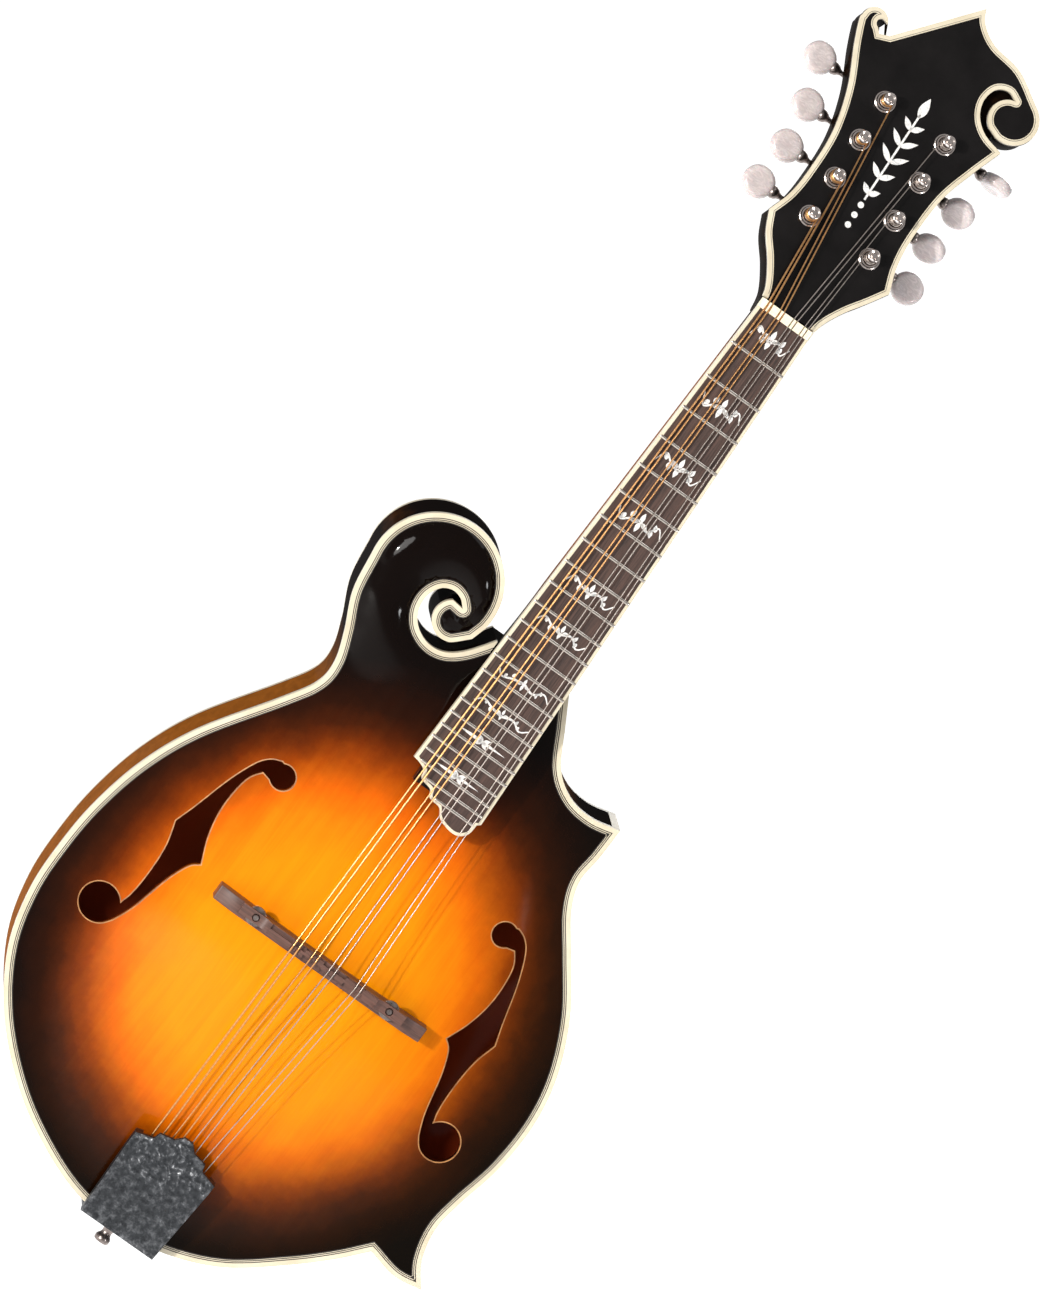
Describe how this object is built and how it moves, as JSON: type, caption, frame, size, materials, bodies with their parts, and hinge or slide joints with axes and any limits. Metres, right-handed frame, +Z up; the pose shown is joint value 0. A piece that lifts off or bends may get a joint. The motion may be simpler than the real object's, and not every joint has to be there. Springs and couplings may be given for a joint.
{
  "type": "mandolin",
  "caption": "Scroll-bodied mandolin with arched sunburst top, f-holes, adjustable bridge, tailpiece with sliding cover, and geared tuners in a bound scroll headstock.",
  "frame": {"origin": "centre of the end pin's flat end, the lowest point of the instrument", "axes": "+Z up along the neck to the headstock, -Y out of the soundboard toward the viewer, +X toward the treble side"},
  "size_m": [0.2536, 0.1165, 0.6877],
  "materials": {
    "top_varnish": "gloss sunburst varnish, amber in the middle and near black at the edge",
    "brown_varnish": "gloss brown sunburst varnish on maple",
    "scroll_varnish": "gloss near-black varnish on maple",
    "black_lacquer": "gloss black lacquer",
    "bare_wood": "unfinished, inside the body",
    "cream_binding": "cream celluloid, polished",
    "rosewood": "open-grained, oiled",
    "bone": "polished bone",
    "rod_steel": "plain",
    "dark_pewter": "dark cast metal with a fine raised ornament",
    "nickel": "polished nickel plate",
    "pearl_plastic": "pearly white plastic on a nickel worm shaft",
    "bronze_string": "wound phosphor bronze",
    "steel_string": "plain drawn steel"
  },
  "bodies": {
    "mandolin_body": {"soundboard": "top_varnish", "back_plate": "brown_varnish", "rim": "brown_varnish", "neck": "brown_varnish", "headstock_overlay": "black_lacquer", "extension_support": "black_lacquer", "head_block": "scroll_varnish", "tail_block": "bare_wood", "upper_point_block": "bare_wood", "lower_point_block": "bare_wood", "top_lining": "bare_wood", "back_lining": "bare_wood", "bass_tone_bar": "bare_wood", "treble_tone_bar": "bare_wood", "top_binding": "cream_binding", "back_binding": "cream_binding", "fingerboard_binding": "cream_binding", "headstock_binding": "cream_binding", "fingerboard": "rosewood", "bridge_base": "rosewood", "nut": "bone", "truss_rod": "rod_steel", "tailpiece_base": "dark_pewter", "end_pin": "dark_pewter", "bridge_post_bass": "nickel", "bridge_post_treble": "nickel", "tuner_plate_bass": "nickel", "tuner_plate_treble": "nickel", "string_1": "bronze_string", "string_2": "bronze_string", "string_3": "bronze_string", "string_4": "bronze_string", "string_5": "steel_string", "string_6": "steel_string", "string_7": "steel_string", "string_8": "steel_string"},
    "saddle": {"bridge_saddle": "rosewood"},
    "wheel_bass": {"thumbwheel_bass": "nickel"},
    "wheel_treble": {"thumbwheel_treble": "nickel"},
    "tail_cover": {"tailpiece_cover": "dark_pewter"},
    "post_1": {"tuner_post_1": "nickel"},
    "button_1": {"tuner_button_1": "pearl_plastic"},
    "post_2": {"tuner_post_2": "nickel"},
    "button_2": {"tuner_button_2": "pearl_plastic"},
    "post_3": {"tuner_post_3": "nickel"},
    "button_3": {"tuner_button_3": "pearl_plastic"},
    "post_4": {"tuner_post_4": "nickel"},
    "button_4": {"tuner_button_4": "pearl_plastic"},
    "post_5": {"tuner_post_5": "nickel"},
    "button_5": {"tuner_button_5": "pearl_plastic"},
    "post_6": {"tuner_post_6": "nickel"},
    "button_6": {"tuner_button_6": "pearl_plastic"},
    "post_7": {"tuner_post_7": "nickel"},
    "button_7": {"tuner_button_7": "pearl_plastic"},
    "post_8": {"tuner_post_8": "nickel"},
    "button_8": {"tuner_button_8": "pearl_plastic"}
  },
  "joints": [
    {"name": "saddle_height", "type": "slide", "parent": "mandolin_body", "child": "saddle", "axis": [0, -1, 0], "range_m": [-0.0012, 0.0025], "deforming": ["string_1", "string_2", "string_3", "string_4", "string_5", "string_6", "string_7", "string_8"]},
    {"name": "thumbwheel_bass_turn", "type": "hinge", "parent": "saddle", "child": "wheel_bass", "pos_m": [-0.037, -0.0456, 0.17], "axis": [0, -1, 0], "range_deg": [-618.1, 1286.7]},
    {"name": "thumbwheel_treble_turn", "type": "hinge", "parent": "saddle", "child": "wheel_treble", "pos_m": [0.037, -0.0456, 0.17], "axis": [0, -1, 0], "range_deg": [-618.1, 1286.7]},
    {"name": "cover_slide", "type": "slide", "parent": "mandolin_body", "child": "tail_cover", "axis": [0, 0.1736, -0.9848], "range_m": [0, 0.05]},
    {"name": "button_1_turn", "type": "hinge", "parent": "mandolin_body", "child": "button_1", "pos_m": [-0.0167, 0.02303, 0.56548], "axis": [1, 0, 0], "continuous": true},
    {"name": "button_2_turn", "type": "hinge", "parent": "mandolin_body", "child": "button_2", "pos_m": [-0.0167, 0.0307, 0.58552], "axis": [1, 0, 0], "continuous": true},
    {"name": "button_3_turn", "type": "hinge", "parent": "mandolin_body", "child": "button_3", "pos_m": [-0.0167, 0.03837, 0.60557], "axis": [1, 0, 0], "continuous": true},
    {"name": "button_4_turn", "type": "hinge", "parent": "mandolin_body", "child": "button_4", "pos_m": [-0.0167, 0.04604, 0.62561], "axis": [1, 0, 0], "continuous": true},
    {"name": "button_5_turn", "type": "hinge", "parent": "mandolin_body", "child": "button_5", "pos_m": [0.0167, 0.04604, 0.62561], "axis": [1, 0, 0], "continuous": true},
    {"name": "button_6_turn", "type": "hinge", "parent": "mandolin_body", "child": "button_6", "pos_m": [0.0167, 0.03837, 0.60557], "axis": [1, 0, 0], "continuous": true},
    {"name": "button_7_turn", "type": "hinge", "parent": "mandolin_body", "child": "button_7", "pos_m": [0.0167, 0.0307, 0.58552], "axis": [1, 0, 0], "continuous": true},
    {"name": "button_8_turn", "type": "hinge", "parent": "mandolin_body", "child": "button_8", "pos_m": [0.0167, 0.02303, 0.56548], "axis": [1, 0, 0], "continuous": true},
    {"name": "post_1_turn", "type": "hinge", "parent": "mandolin_body", "child": "post_1", "pos_m": [-0.0167, 0.02097, 0.56011], "axis": [0, 0.934, -0.3574], "continuous": true},
    {"name": "post_2_turn", "type": "hinge", "parent": "mandolin_body", "child": "post_2", "pos_m": [-0.0167, 0.02864, 0.58015], "axis": [0, 0.934, -0.3574], "continuous": true},
    {"name": "post_3_turn", "type": "hinge", "parent": "mandolin_body", "child": "post_3", "pos_m": [-0.0167, 0.03631, 0.6002], "axis": [0, 0.934, -0.3574], "continuous": true},
    {"name": "post_4_turn", "type": "hinge", "parent": "mandolin_body", "child": "post_4", "pos_m": [-0.0167, 0.04398, 0.62024], "axis": [0, 0.934, -0.3574], "continuous": true},
    {"name": "post_5_turn", "type": "hinge", "parent": "mandolin_body", "child": "post_5", "pos_m": [0.0167, 0.04398, 0.62024], "axis": [0, 0.934, -0.3574], "continuous": true},
    {"name": "post_6_turn", "type": "hinge", "parent": "mandolin_body", "child": "post_6", "pos_m": [0.0167, 0.03631, 0.6002], "axis": [0, 0.934, -0.3574], "continuous": true},
    {"name": "post_7_turn", "type": "hinge", "parent": "mandolin_body", "child": "post_7", "pos_m": [0.0167, 0.02864, 0.58015], "axis": [0, 0.934, -0.3574], "continuous": true},
    {"name": "post_8_turn", "type": "hinge", "parent": "mandolin_body", "child": "post_8", "pos_m": [0.0167, 0.02097, 0.56011], "axis": [0, 0.934, -0.3574], "continuous": true}
  ],
  "couplings": [
    {"joint": "thumbwheel_bass_turn", "follows": "saddle_height", "rad_per_m": 8976},
    {"joint": "thumbwheel_treble_turn", "follows": "saddle_height", "rad_per_m": 8976},
    {"joint": "post_1_turn", "follows": "button_1_turn", "ratio": -0.071429},
    {"joint": "post_2_turn", "follows": "button_2_turn", "ratio": -0.071429},
    {"joint": "post_3_turn", "follows": "button_3_turn", "ratio": -0.071429},
    {"joint": "post_4_turn", "follows": "button_4_turn", "ratio": -0.071429},
    {"joint": "post_5_turn", "follows": "button_5_turn", "ratio": -0.071429},
    {"joint": "post_6_turn", "follows": "button_6_turn", "ratio": -0.071429},
    {"joint": "post_7_turn", "follows": "button_7_turn", "ratio": -0.071429},
    {"joint": "post_8_turn", "follows": "button_8_turn", "ratio": -0.071429}
  ]
}
